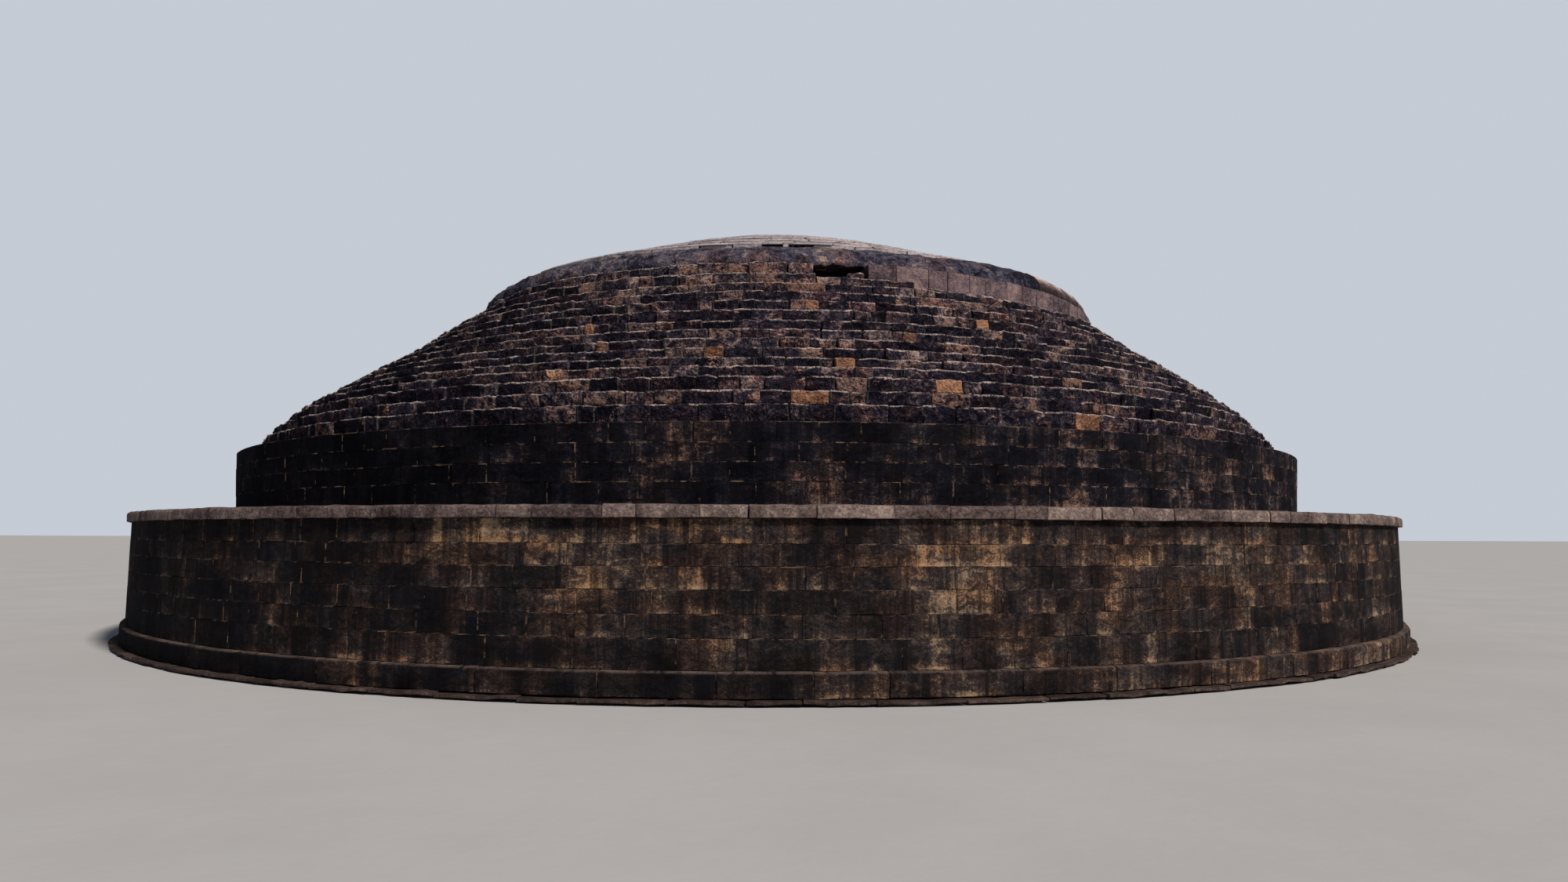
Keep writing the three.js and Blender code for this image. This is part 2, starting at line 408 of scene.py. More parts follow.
# %% [markdown]
# ## The rough stones of the dome
#
# These stones were backing for a facing that is gone, so they were only roughly picked. They are
# plum brown under a black crust, a few are ochre or tan, and their upper arrises carry pale dust and
# lichen, with a painted highlight where they and the ledges face the sky. The finish has many layers,
# so its parts are written as functions first. The pick marks are upright furrows, a little slanted,
# which catch the light on their ridges; besides their bump, they give the ridges a painted highlight
# and the furrows painted shade. Each stone has its own amount of them, from none to many.

# %% The pick marks
def pick_marks(book, pitch, own):
    """Furrows with a pitch in metres, as a height about 0."""
    slant = book.plus(-0.6, book.seed, 1.2)
    across = book.plus(book.along, book.up, slant)
    furrow = book.noise(book.join(across, book.up, 0), (1 / pitch, 0.3 / pitch, 1), 3, 0.6, 0.8, own)
    return book.times(book.math("SUBTRACT", furrow, 0.5), book.tooling)


# %% Ochre and tan
OCHRE = ((0.0, (0.19, 0.085, 0.048)), (0.45, (0.43, 0.205, 0.115)), (1.0, (0.68, 0.39, 0.24)))
TAN = (0.27, 0.155, 0.108)


def ochre_and_tan(book, colour, patch, lumps, grain, separate):
    """Ochre on the marked stones and where the crust came off, and tan on the lightest stones."""
    bare = book.rise(book.plus(patch, grain, 0.6), 0.84, 1.10)
    gold = book.ramp(book.blend(0.45, (patch, 0.9), (grain, 1.1), (book.seed, 0.3)), *OCHRE)
    show = book.rise(book.math("ADD", book.ochre, book.times(bare, separate)), 0.75, 1.05)
    spotted = book.rise(book.blend(0.5, (patch, 0.9), (lumps, 0.9), (grain, 0.8)), 0.17, 0.31)
    colour = book.mix(book.times(show, spotted), colour, gold)
    scrubbed = book.rise(book.blend(0.5, (patch, 1.2), (lumps, 0.8), (grain, 0.6)), 0.42, 0.62)
    scrubbed = book.times(scrubbed, book.rise(book.shade, 0.86, 0.96))
    return book.mix(book.times(scrubbed, 0.65 * separate), colour, TAN)


# %% Joints and dust
# Black crust, also used as painted shade at the foot of the rough stones.
BLACK_CRUST_AND_SHADE = (0.0095, 0.0085, 0.0140)
GREY_MORTAR = (0.080, 0.076, 0.074)
# Pale dust, and a painted highlight, on the upper arrises and ledges.
DUST_AND_HIGHLIGHT = (0.60, 0.475, 0.43)


def joints_shade_dust_and_highlight(book, colour, grain, dust_and_highlight_amount, separate):
    """A dark foot of painted shade and damp, grey mortar in some joints, and pale dust with a painted
    highlight on the upper arrises and ledges.
    """
    ragged = book.noise(book.place, (18, 18, 18), 5, 0.7, 0.3)
    # Painted shade, with some damp, darkens the lowest few centimetres of each stone.
    shaded_foot = book.times(book.rise(book.foot, 0.030, 0.004), 0.5)
    colour = book.mix(shaded_foot, colour, BLACK_CRUST_AND_SHADE)
    pointed = book.rise(book.noise(book.place, (1.4, 1.4, 3), 3, 0.6, shift=(5, 5, 5)), 0.45, 0.52)
    mortar = book.rise(book.plus(book.side, ragged, -0.022), 0.003, -0.003)
    mortar = book.times(mortar, pointed, 0.7 * separate)
    colour = book.mix(mortar, colour, GREY_MORTAR)
    # The upper arrises and the ledges that face up get dust and a painted highlight, in patches.
    edge = book.rise(book.plus(book.top, ragged, -0.026), 0.003, -0.003)
    lit_arris = book.times(edge, book.rise(book.upward, 0.98, 0.80), dust_and_highlight_amount)
    ledge = book.times(book.rise(book.upward, 0.45, 0.85), 0.4 * dust_and_highlight_amount)
    patchy = book.rise(book.noise(book.place, (5, 5, 9), 5, 0.7, shift=(2, 8, 1)), 0.43, 0.58)
    patchy = book.times(patchy, book.rise(grain, 0.30, 0.55))
    dust_and_highlight = book.times(book.math("MAXIMUM", lit_arris, ledge), patchy)
    return book.mix(dust_and_highlight, colour, DUST_AND_HIGHLIGHT)


# %% [markdown]
# The band of the cap has the same rough stones, but its crust has grown over them as one skin. So
# the recipe takes an amount called separate: at 1 each stone has its own part of the patterns, and
# at 0 the patterns run on over the joints, and ochre, tan and mortar stay away.

# %% The finish of the rough stones
CRUST_TO_PLUM = (
    (0.00, (0.0042, 0.0040, 0.0095)),
    (0.28, (0.0122, 0.0106, 0.0190)),
    (0.50, (0.0335, 0.0268, 0.0410)),
    (0.64, (0.0700, 0.0520, 0.0680)),
    (0.78, (0.1650, 0.1160, 0.1220)),
    (1.00, (0.4300, 0.3100, 0.2650)),
)
BAND_TONES = (
    (0.00, (0.0080, 0.0085, 0.0175)),
    (0.25, (0.0230, 0.0230, 0.0400)),
    (0.50, (0.0700, 0.0650, 0.0960)),
    (0.70, (0.1250, 0.1080, 0.1320)),
    (0.86, (0.2100, 0.1650, 0.1650)),
    (1.00, (0.3600, 0.2700, 0.2300)),
)
WARM_BROWN = (1.20, 0.93, 0.80)
# Between these levels the rough stones turn lighter towards the top.
LIGHTER_UP_HIGH = (1.9, 4.4)
# The painted shade on the left side of the rough stones.
LEFT_SHADE = 0.22


def rough_finish(name, tones, brightness, dust_and_highlight_amount, pitch, right, separate):
    book = StoneFinish(name, roughness=0.95, specular=0.06)
    own = book.stretch(book.own, (separate, separate, separate))
    patch = book.noise(book.place, (7, 7, 9), 3, 0.6, 0.8, own)
    lumps = book.noise(book.place, (22, 22, 22), 2, 0.6, 0.8, own)
    grain = book.noise(book.place, (55, 55, 55), 2, 0.7, shift=own)
    broad = book.noise(book.place, (2.2, 2.2, 3), 3, 0.6, shift=(1, 6, 2))
    higher = book.rise(book.level, *LIGHTER_UP_HIGH)
    # The sides add painted shade on the left, and on the far right by the amount called right.
    light = book.blend(brightness, (patch, 1.4), (lumps, 1.0), (grain, 1.0), (broad, 0.8 * (1 - separate)),
                       (higher, 0.16), (book.shade, 0.45 * separate), *book.sides(LEFT_SHADE, right))
    marks = pick_marks(book, pitch, own)
    # The pick marks also shift the colour: a painted highlight on their ridges and painted shade in their
    # furrows.
    colour = book.ramp(book.plus(light, marks, 1.1), *tones)
    warm = book.rise(book.noise(book.place, (2.3, 2.3, 4), 4, 0.6, shift=own), 0.48, 0.60)
    colour = book.mix(warm, colour, WARM_BROWN, "MULTIPLY")
    crust = book.noise(book.place, (5, 5, 9), 6, 0.75, 0.8)
    crust = book.rise(book.plus(crust, grain, 0.3), 0.69, 0.75)
    colour = book.mix(book.times(crust, 0.8), colour, BLACK_CRUST_AND_SHADE)
    colour = ochre_and_tan(book, colour, patch, lumps, grain, separate)
    # Painted shade at the foot of each stone, and dust with a painted highlight on its arrises and ledges.
    colour = joints_shade_dust_and_highlight(book, colour, grain, dust_and_highlight_amount, separate)
    height = book.blend(0, (patch, 1.4), (lumps, 0.8), (grain, 0.4))
    return book.finish(colour, book.relief(height, 0.034, book.relief(marks, 0.03)))


# The amount called right is painted shade on the far right.
ROUGH_FINISH = rough_finish(
    "rough_stone", CRUST_TO_PLUM, brightness=0.412, dust_and_highlight_amount=0.88, pitch=0.014, right=0.08, separate=1.0)
BAND_FINISH = rough_finish(
    "crusted_band_stone", BAND_TONES, brightness=0.24, dust_and_highlight_amount=0.0, pitch=0.03, right=0.45, separate=0.0)
print("finishes of the rough stones:", ROUGH_FINISH.name, BAND_FINISH.name)

# %% [markdown]
# ## The smoother pale stones
#
# The coping, the cap's facing, the terrace, the footing and the crown are cut from the same stone
# and have kept less crust. One recipe serves them all: a body colour that drifts, darker stains,
# pale wear, fine grain, and a dark line round each stone. Dressed faces also show the fine level
# scratches that their dressing left, and a rounded shoulder gets a painted highlight where it faces
# the sky.

# %% The finish of dressed and mortared stone
CRUST_OF_STAIN = 0.35


def dressed_stone(name, stain, body, wear, soiled=0.0, scratches=0.0, lines=0.6, skyward_highlight=0.0, varied=0.24):
    book = StoneFinish(name, specular=0.1)
    drift = book.noise(book.place, (1.3, 1.3, 1.3), 5, 0.6, 0.4)
    patch = book.noise(book.place, (8, 8, 8), 4, 0.7, 0.6, book.own)
    grain = book.noise(book.place, (50, 50, 50), 3, 0.75)
    scratch = book.noise(book.wall, (7, 90, 1), 3, 0.6, 0.4, book.own)
    # Where the surface faces the sky it is painted lighter, as a painted highlight.
    skyward = book.rise(book.upward, 0.1, 0.9)
    light = book.blend(0.5 - soiled, (drift, 0.6), (patch, 1.1), (grain, 1.2), (book.shade, varied),
                       (scratch, scratches), (skyward, skyward_highlight))
    crust = tuple(CRUST_OF_STAIN * c for c in stain)
    colour = book.ramp(light, (0, crust), (0.25, stain), (0.55, body), (0.85, wear), (1, wear))
    line = book.joint_lines(grain, 0.008)
    colour = book.mix(book.times(line, lines), colour, crust)
    height = book.blend(0, (patch, 1.0), (grain, 0.9), (scratch, scratches))
    return book.finish(colour, book.relief(height, 0.008))


COPING_FINISH = dressed_stone(
    "coping_stone", (0.058, 0.041, 0.038), (0.165, 0.118, 0.106), (0.38, 0.285, 0.235), lines=0.4)
FACING_FINISH = dressed_stone(
    "facing_stone", (0.072, 0.049, 0.057), (0.200, 0.139, 0.148), (0.37, 0.255, 0.225), soiled=0.02,
    scratches=0.5, lines=0.8, varied=0.35)
# The shoulder gets a painted highlight where it faces the sky.
SHOULDER_FINISH = dressed_stone(
    "shoulder_stone", (0.072, 0.050, 0.053), (0.22, 0.155, 0.148), (0.62, 0.49, 0.40), scratches=0.3,
    skyward_highlight=0.8, varied=0.35)
PALE_FINISH = dressed_stone(
    "pale_stone", (0.12, 0.085, 0.075), (0.30, 0.21, 0.175), (0.44, 0.32, 0.26), lines=0.0)
CROWN_FINISH = dressed_stone(
    "crown_slabs", (0.30, 0.25, 0.255), (0.57, 0.49, 0.495), (0.66, 0.58, 0.56), lines=0.8)
TERRACE_FINISH = dressed_stone(
    "terrace_slabs", (0.055, 0.044, 0.041), (0.15, 0.115, 0.10), (0.25, 0.195, 0.17))
FOOTING_FINISH = dressed_stone(
    "footing_stone", (0.035, 0.024, 0.021), (0.095, 0.065, 0.055), (0.21, 0.15, 0.125), soiled=0.05)
print("finishes of the paler stones:", COPING_FINISH.name, FACING_FINISH.name, SHOULDER_FINISH.name,
      PALE_FINISH.name, CROWN_FINISH.name, TERRACE_FINISH.name, FOOTING_FINISH.name)

# %% [markdown]
# ## Mortar, core and floor
#
# Behind the stones lies the core that they were built against. It only shows as the bottom of a
# joint, so it has a plain mottled finish. The floor's finish is nearly even, with a faint drift that
# keeps it from looking like paper.

# %% The finish of what lies behind and below
def plain_finish(name, dark, light, scale):
    book = Finish(name)
    drift = book.noise(book.place, (scale, scale, scale), 6, 0.7)
    colour = book.mix(book.rise(drift, 0.3, 0.7), dark, light)
    return book.finish(colour, book.relief(drift, 0.01))


MORTAR_FINISH = plain_finish("drum_mortar", (0.018, 0.014, 0.012), (0.13, 0.085, 0.06), 9)
CORE_FINISH = plain_finish("dome_core", (0.008, 0.007, 0.009), (0.05, 0.038, 0.036), 7)
CROWN_BED_FINISH = plain_finish("crown_bed", (0.03, 0.025, 0.027), (0.16, 0.125, 0.12), 8)
FLOOR_FINISH = plain_finish("floor", (0.45, 0.435, 0.42), (0.48, 0.465, 0.45), 0.6)
print("finishes behind and below:", MORTAR_FINISH.name, CORE_FINISH.name, CROWN_BED_FINISH.name,
      FLOOR_FINISH.name)

# %% [markdown]
# ## Setting out a course
#
# A ring of stones is easiest to lay out straight. X runs along the course, Y goes into the wall and
# Z is up. The joints come first: stones of varied length that fill the course. A few stones stand
# out on the real one, and those are marked by azimuth, in degrees from the front towards +X, so
# their joints are set first and the others give way. A mark can also say that its stone is missing.

# %% Courses and joints
Course = namedtuple("Course", "centre radius foot head")
# A kind of masonry: its finish and its slot; the mean length of its stones, how much that varies, and
# their depth; the widths of upright joints and of beds; the bevel of the arrises and the rounding of
# the upper one; how far a stone stands proud; the height and the grain of its waves, and how far apart
# in the noise two stones lie; the cuts along it and up its height; and the strength of its tool marks.
Masonry = namedtuple("Masonry", "finish slot length spread depth joint bed arris rounding proud wave "
                                "grain apart cuts lifts tooling")
LONGEST_LAST_STONE = 1.5
ROOM_BESIDE_MARKED = 0.3


def course_of(node):
    """The circle and the height of a course, from its solid in the frame."""
    low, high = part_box(node)
    return Course((low.x + high.x) / 2, (high.x - low.x) / 2, low.z, high.z)


def run(course, azimuth):
    """How far along the course an azimuth lies, from the back."""
    return course.radius * math.radians(180 + azimuth)


def joints_along(start, end, masonry, rng, marked):
    """Where the upright joints fall between two ends of a course."""
    places = [start]
    while end - places[-1] > LONGEST_LAST_STONE * masonry.length:
        places.append(places[-1] + masonry.length * rng.uniform(1 - masonry.spread, 1 + masonry.spread))
    places.append(end)
    spans = [(middle - length / 2, middle + length / 2) for middle, length, _ in marked]
    room = ROOM_BESIDE_MARKED * masonry.length
    kept = [place for place in places
            if not any(left - room < place < right + room for left, right in spans)]
    return sorted(kept + [edge for span in spans for edge in span])


# %% [markdown]
# ## Shaping the stones of a course
#
# Each stone starts as one bmesh cube, a little proud or sunken and turned by a hair. A cube's edges
# are found by their direction, so all stones of the row are cut and bevelled by one operator call
# each. The cuts let the stone bend and wave. The roughening pushes each point by a smooth noise that
# is shifted by the stone's own seed, so two neighbours never share a bump.

# %% A straight row of stones
MISSING = None
JOINT_RANGE = (0.5, 1.5)
BED_RANGE = (0.3, 1.7)
TURN = 0.4


def straight_row(places, foot, head, masonry, rng, marked):
    """A row of stones between their joints, with the face at Y = 0."""
    mesh = bmesh.new()
    facts = mesh.verts.layers.float_color.new("stone")
    tones = mesh.verts.layers.float_color.new("tone")
    for start, end in zip(places, places[1:]):
        middle = (start + end) / 2
        length = end - start - masonry.joint * rng.uniform(*JOINT_RANGE)
        height = head - foot - masonry.bed * rng.uniform(*BED_RANGE)
        turn = rng.gauss(0, TURN) * masonry.proud / length
        centre = Vector((middle, masonry.depth / 2 - masonry.proud * rng.uniform(-1, 1), foot + height / 2))
        shape = Matrix.Translation(centre) @ Matrix.Rotation(turn, 4, "Z")
        shape = shape @ Matrix.Diagonal((length, masonry.depth, height, 1))
        ochre = next((amount for place, _, amount in marked if start < place < end), 0.0)
        tone = (rng.random(), ochre, rng.random(), masonry.tooling * rng.random())
        if ochre is MISSING:
            continue
        for vert in bmesh.ops.create_cube(mesh, size=1, matrix=shape)["verts"]:
            vert[facts] = (middle, foot + height / 2, length / 2, height / 2)
            vert[tones] = tone
    return mesh


# %% Cutting and rounding a row
NEARLY_ALONG = 0.98
SHARP_EDGE = 1.0
ROUNDING_STEPS = 3


def edges_along(mesh, axis):
    found = []
    for edge in mesh.edges:
        reach = edge.verts[0].co - edge.verts[1].co
        if abs(reach[axis]) > NEARLY_ALONG * reach.length:
            found.append(edge)
    return found


def bevel_edges(mesh, edges, width, segments):
    bmesh.ops.bevel(mesh, geom=edges, offset=width, offset_type="OFFSET", segments=segments,
                    profile=0.5, affect="EDGES", clamp_overlap=True, material=-1)


def upper_arrises(mesh, head, masonry):
    """The edges along the course at the top of the stones' faces."""
    lowest = head - 2 * masonry.bed
    return [edge for edge in edges_along(mesh, 0)
            if all(vert.co.z > lowest and vert.co.y < masonry.depth / 2 for vert in edge.verts)]


def cut_and_round(mesh, head, masonry):
    """Cuts the stones of a straight row and rounds their arrises."""
    bmesh.ops.subdivide_edges(mesh, edges=edges_along(mesh, 0), cuts=masonry.cuts, use_grid_fill=True)
    if masonry.lifts:
        bmesh.ops.subdivide_edges(mesh, edges=edges_along(mesh, 2), cuts=masonry.lifts, use_grid_fill=True)
    if masonry.rounding:
        bevel_edges(mesh, upper_arrises(mesh, head, masonry), masonry.rounding, ROUNDING_STEPS)
    sharp = [edge for edge in mesh.edges if edge.calc_face_angle(0) > SHARP_EDGE]
    bevel_edges(mesh, sharp, masonry.arris, 1)


# %% Mapping and roughening a row
FINE_GRAIN = 0.4
FINE_SHARE = 0.6
# Without a seed, mathutils.noise gives other bumps each time that Blender runs.
NOISE_SEED = 7
noise.seed_set(NOISE_SEED)


def map_wall(mesh):
    """The UV map called wall, in metres along the course and up."""
    chart = mesh.loops.layers.uv.new("wall")
    for face in mesh.faces:
        for corner in face.loops:
            corner[chart].uv = (corner.vert.co.x, corner.vert.co.z)


def roughen(mesh, masonry):
    """Pushes each point by a broad and a fine noise, shifted by the seed of its stone."""
    tones = mesh.verts.layers.float_color["tone"]
    for vert in mesh.verts:
        apart = Vector((0, 0, masonry.apart * vert[tones][2]))
        broad = noise.noise_vector(vert.co / masonry.grain + apart)
        fine = noise.noise_vector(vert.co / (FINE_GRAIN * masonry.grain) + apart)
        vert.co += masonry.wave * (broad + FINE_SHARE * fine)


# %% [markdown]
# ## Bending a row round its circle
#
# The straight row is then bent round, so its upright joints become radial as in a real ring. What
# differs between an upright wall, a leaning wall, a rounded shoulder and a crown is only how a depth
# and a height in the row turn into a radius and a level, so a small function holds that section.

# %% Bending, and handing a piece over
SHARP_DEGREES = 38


def bend_round(mesh, course, section):
    """Bends a straight row round. The section gives radius and level from Y, Z and the azimuth."""
    for vert in mesh.verts:
        azimuth = vert.co.x / course.radius - math.pi
        radius, level = section(vert.co.y, vert.co.z, azimuth)
        vert.co = (course.centre + radius * math.sin(azimuth), -radius * math.cos(azimuth), level)


def upright(course, batter=0.0):
    return lambda depth, level, _: (course.radius - depth - batter * (level - course.foot), level)


def mesh_object(mesh, name, material):
    """Makes a finished mesh an object with its material."""
    data = bpy.data.meshes.new(name)
    mesh.to_mesh(data)
    mesh.free()
    data.materials.append(material)
    return put_in_scene(name, data)


def hand_over(mesh, name, material, slot, *nodes):
    """Makes an object that rides on the part, and hides the nodes it stands for. The slot is not used."""
    piece = mesh_object(mesh, name, material)
    piece.data.shade_smooth()
    piece.data.set_sharp_from_angle(angle=math.radians(SHARP_DEGREES))
    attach(piece, "root")
    if nodes:
        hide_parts(*nodes)


# %% [markdown]
# A full ring has to start somewhere, and a joint always falls there. If all rings started at the
# back, these joints would stand in one line up the wall. So each ring starts at a place of its own,
# and the golden ratio spreads those places well for seeds that follow each other.

# %% Laying a ring or an arc of stones
FULL_RING = (-180, 180)
SEAM_SPREAD = 120
GOLDEN = 0.618


def lay(name, course, masonry, seed, nodes=(), arc=FULL_RING, section=None, marked=()):
    """Lays a ring or an arc of stones on a course, and returns how many."""
    rng = random.Random(seed)
    seam = SEAM_SPREAD * (seed * GOLDEN % 1 - 0.5) if arc == FULL_RING else 0
    marked = [(run(course, azimuth), length, amount) for azimuth, length, amount in marked]
    places = joints_along(run(course, arc[0] + seam), run(course, arc[1] + seam), masonry, rng, marked)
    mesh = straight_row(places, course.foot, course.head, masonry, rng, marked)
    cut_and_round(mesh, course.head, masonry)
    map_wall(mesh)
    roughen(mesh, masonry)
    bend_round(mesh, course, section or upright(course))
    hand_over(mesh, name, masonry.finish, masonry.slot, *nodes)
    return len(places) - 1


def lay_courses(nodes, masonry, seed, batter=0.0, marked=()):
    """Lays a ring for each node. Marked stones are listed by the number of their course, from 1."""
    count = 0
    for place, node in enumerate(nodes):
        course = course_of(node)
        count += lay(f"{node}_stones", course, masonry, seed + place, [node],
                     section=upright(course, batter), marked=dict(marked).get(place + 1, ()))
    return count


# %% [markdown]
# ## Cores by spinning
#
# The core behind the stones is a solid of revolution: half its outline, from the axis out and back
# to the axis, is spun once round. The outline steps in with the courses, a few millimetres behind
# their faces on the drums, where mortar fills the joints, and deeper on the dome.

# %% A spun core
CORE_STEPS = 128
SAME_POINT = 1e-5


def spun(outline, centre=0.0):
    """A closed solid of revolution through (radius, level) points, from the axis to the axis."""
    mesh = bmesh.new()
    points = [mesh.verts.new((centre + radius, 0, level)) for radius, level in outline]
    rim = [mesh.edges.new(pair) for pair in zip(points, points[1:])]
    bmesh.ops.spin(mesh, geom=points + rim, cent=(centre, 0, 0), axis=(0, 0, 1), angle=2 * math.pi,
                   steps=CORE_STEPS, use_merge=True, use_duplicate=False)
    bmesh.ops.remove_doubles(mesh, verts=mesh.verts, dist=SAME_POINT)
    bmesh.ops.recalc_face_normals(mesh, faces=mesh.faces)
    return mesh


def stepped_outline(courses, inset, start, end):
    """The outline of a core that steps in behind each course, between two levels."""
    outline = [(0, start)]
    level = start
    for course in courses:
        head = min(course.head - inset, end)
        outline += [(course.radius - inset, level), (course.radius - inset, head)]
        level = head
    return outline + [(0, level)]


# %% [markdown]
# ## The lower drum and the terrace
#
# The footing is a ring of worn flat stones that barely shows. They waver, so their ring is laid a
# little inside and above the foot of its solid. On it lies a base course of longer blocks with a
# worn upper arris, and then six courses of ashlar: smooth, flush, with joints a few millimetres
# wide, leaning in by a few centimetres over their height. The coping's stones have a rounded edge,
# and the terrace behind them is paved with slabs up to the upper drum.

# %% The footing and the base course
ASHLAR = Masonry(finish=DRUM_FINISH, slot="drum_stone", length=0.42, spread=0.38, depth=0.30,
                 joint=0.002, bed=0.0015, arris=0.002, rounding=0, proud=0.002, wave=0.002, grain=0.3,
                 apart=40, cuts=1, lifts=0, tooling=0.1)
FOOTING = ASHLAR._replace(finish=FOOTING_FINISH, slot="footing_stone", length=0.45, spread=0.45,
                          depth=0.35, joint=0.004, bed=0.005, arris=0.005, proud=0.010, wave=0.012,
                          cuts=4, grain=0.12)
FOOTING_INSET = 0.02
FOOTING_RISE = 0.015
BASE = ASHLAR._replace(finish=BASE_FINISH, length=0.74, spread=0.35, depth=0.45, arris=0.005,
                       rounding=0.026, wave=0.005, cuts=3)

footing = course_of("footing")
footing = footing._replace(radius=footing.radius - FOOTING_INSET, foot=footing.foot + FOOTING_RISE)
count = lay("footing_stones", footing, FOOTING, seed=1, nodes=["footing"])
base = course_of("base_course")
count += lay("base_stones", base, BASE, seed=3, nodes=["base_course"])
print("footing and base course:", count, "stones")

# %% The lower drum
LOWER_COURSES = [f"lower_drum_course_{i}" for i in range(1, 7)]

lowest = course_of(LOWER_COURSES[0])
highest = course_of(LOWER_COURSES[-1])
batter = (lowest.radius - highest.radius) / (highest.foot - lowest.foot)
count = lay_courses(LOWER_COURSES, ASHLAR, seed=10, batter=batter)
print("lower drum:", count, "stones, leaning in", round(batter, 3), "m for each metre of height")

# %% The coping and the terrace
COPING = ASHLAR._replace(finish=COPING_FINISH, slot="coping_stone", length=0.38, spread=0.4, depth=0.45,
                         joint=0.003, bed=0.003, arris=0.004, rounding=0.028, proud=0.004, wave=0.007,
                         cuts=3, grain=0.15)
TERRACE = COPING._replace(finish=TERRACE_FINISH, length=0.6, depth=0.54, rounding=0, arris=0.006)
TERRACE_SLAB = 0.06

coping = course_of("coping_course")
count = lay("coping_stones", coping, COPING, seed=20, nodes=["coping_course"])
terrace = coping._replace(radius=coping.radius - COPING.depth, foot=coping.head - TERRACE_SLAB)
count += lay("terrace_slabs", terrace, TERRACE, seed=21)
print("coping and terrace:", count, "stones")

# %% [markdown]
# ## The upper drum
#
# Four courses of the same ashlar, upright, and the blackest part of the stupa, because the broken
# dome sheds its water over it.

# %% The upper drum
UPPER_COURSES = [f"upper_drum_course_{i}" for i in range(1, 5)]
BLACK_ASHLAR = ASHLAR._replace(finish=BLACK_FINISH, slot="blackened_stone")

print("upper drum:", lay_courses(UPPER_COURSES, BLACK_ASHLAR, seed=30), "stones")

# %% [markdown]
# One core serves both drums. Its outline follows the lean of the lower courses just behind their
# faces, and stays further back behind the rounded edges of the base course and the coping.

# %% The core of both drums
MORTAR_BEHIND_FACE = 0.005
CORE_BEHIND_ROUNDED = 0.06

base_radius = base.radius - CORE_BEHIND_ROUNDED
outline = [(0, base.foot), (base_radius, base.foot), (base_radius, base.head)]
for node in LOWER_COURSES:
    course = course_of(node)
    face = course.radius - MORTAR_BEHIND_FACE
    outline += [(face, course.foot), (face - batter * (course.head - course.foot), course.head)]
outline += [(coping.radius - CORE_BEHIND_ROUNDED, level) for level in (coping.foot, terrace.foot)]
upper_radius = course_of(UPPER_COURSES[0]).radius - MORTAR_BEHIND_FACE
dome_foot = course_of(UPPER_COURSES[-1]).head
outline += [(upper_radius, terrace.foot), (upper_radius, dome_foot), (0, dome_foot)]
hand_over(spun(outline), "drum_core", MORTAR_FINISH, "drum_stone")
print("core of the drums: up to", round(dome_foot, 3), "m")

# %% [markdown]
# ## The dome
#
# Fourteen courses of rough backing stone, each set back behind the one below. The stones stand
# proud or sunken by a centimetre or two and their upper arrises wave. The marked stones are listed
# by course, each with its azimuth, its length in metres and how ochre it is. The last course waits
# for the cap, because its stones are taller where the cap's facing is gone.

# %% The dome
ROUGH = Masonry(finish=ROUGH_FINISH, slot="rough_stone", length=0.26, spread=0.55, depth=0.36,
                joint=0.002, bed=0.004, arris=0.008, rounding=0, proud=0.013, wave=0.014, grain=0.12,
                apart=40, cuts=3, lifts=1, tooling=1.0)
MARKED_STONES = {
    1: ((-35.5, 0.20, 0.5), (-11.9, 0.20, 0.5), (24.8, 0.26, 0.9)),
    2: ((-33.6, 0.15, 0.7), (-7.7, 0.22, 0.6), (2.8, 0.31, 0.95)),
    3: ((8.2, 0.20, 0.4), (13.8, 0.24, 1.2)),
    4: ((-18.4, 0.17, 0.8),),
    5: ((-5.6, 0.20, 0.7), (5.6, 0.17, 1.0)),
    6: ((-5.5, 0.17, 0.9),),
    7: ((-16.6, 0.12, 0.9),),
    8: ((12.4, 0.13, 0.9),),
    9: ((-20.1, 0.10, 1.2),),
    10: ((23.0, 0.16, 1.0),),
    11: ((-7.0, 0.14, 0.6), (3.4, 0.12, 1.0), (27.0, 0.24, 0.8)),
    12: ((-6.1, 0.24, 0.5), (14.9, 0.16, 0.6)),
}
DOME_COURSES = [f"dome_course_{i:02d}" for i in range(1, 15)]

count = lay_courses(DOME_COURSES[:-1], ROUGH, seed=51, marked=MARKED_STONES)
print("dome:", count, "stones")

# %% [markdown]
# The courses of the dome move off the axis as they climb, until the cap stands ten centimetres to
# the right of it. So the dome's core is spun about the axis and then sheared, by sliding each point
# in proportion to its height.

# %% The core of the dome
CORE_BEHIND_DOME = 0.025
LAST_CORE_SETBACK = 0.09

dome = [course_of(node) for node in DOME_COURSES]
last = dome[-1]
backed = dome[:-1] + [last._replace(radius=last.radius - LAST_CORE_SETBACK)]
dome_core = spun(stepped_outline(backed, CORE_BEHIND_DOME, dome[0].foot, last.head))
for vert in dome_core.verts:
    vert.co.x += last.centre * (vert.co.z - dome[0].foot) / (last.head - dome[0].foot)
hand_over(dome_core, "dome_core", CORE_FINISH, "rough_stone")
print("core of the dome: moved", round(last.centre, 3), "m at its head")

# %% [markdown]
# ## The low course of the cap
#
# At the cap's foot a row of core stones shows where the facing is gone. At the front one stone is
# lost, which leaves a dark pocket with a loose stone in it, and to its right the smooth facing
# begins. The core behind is a disc whose rim is drawn in behind the facing and at the pocket, so it
# is made by extruding a circle of many corners.

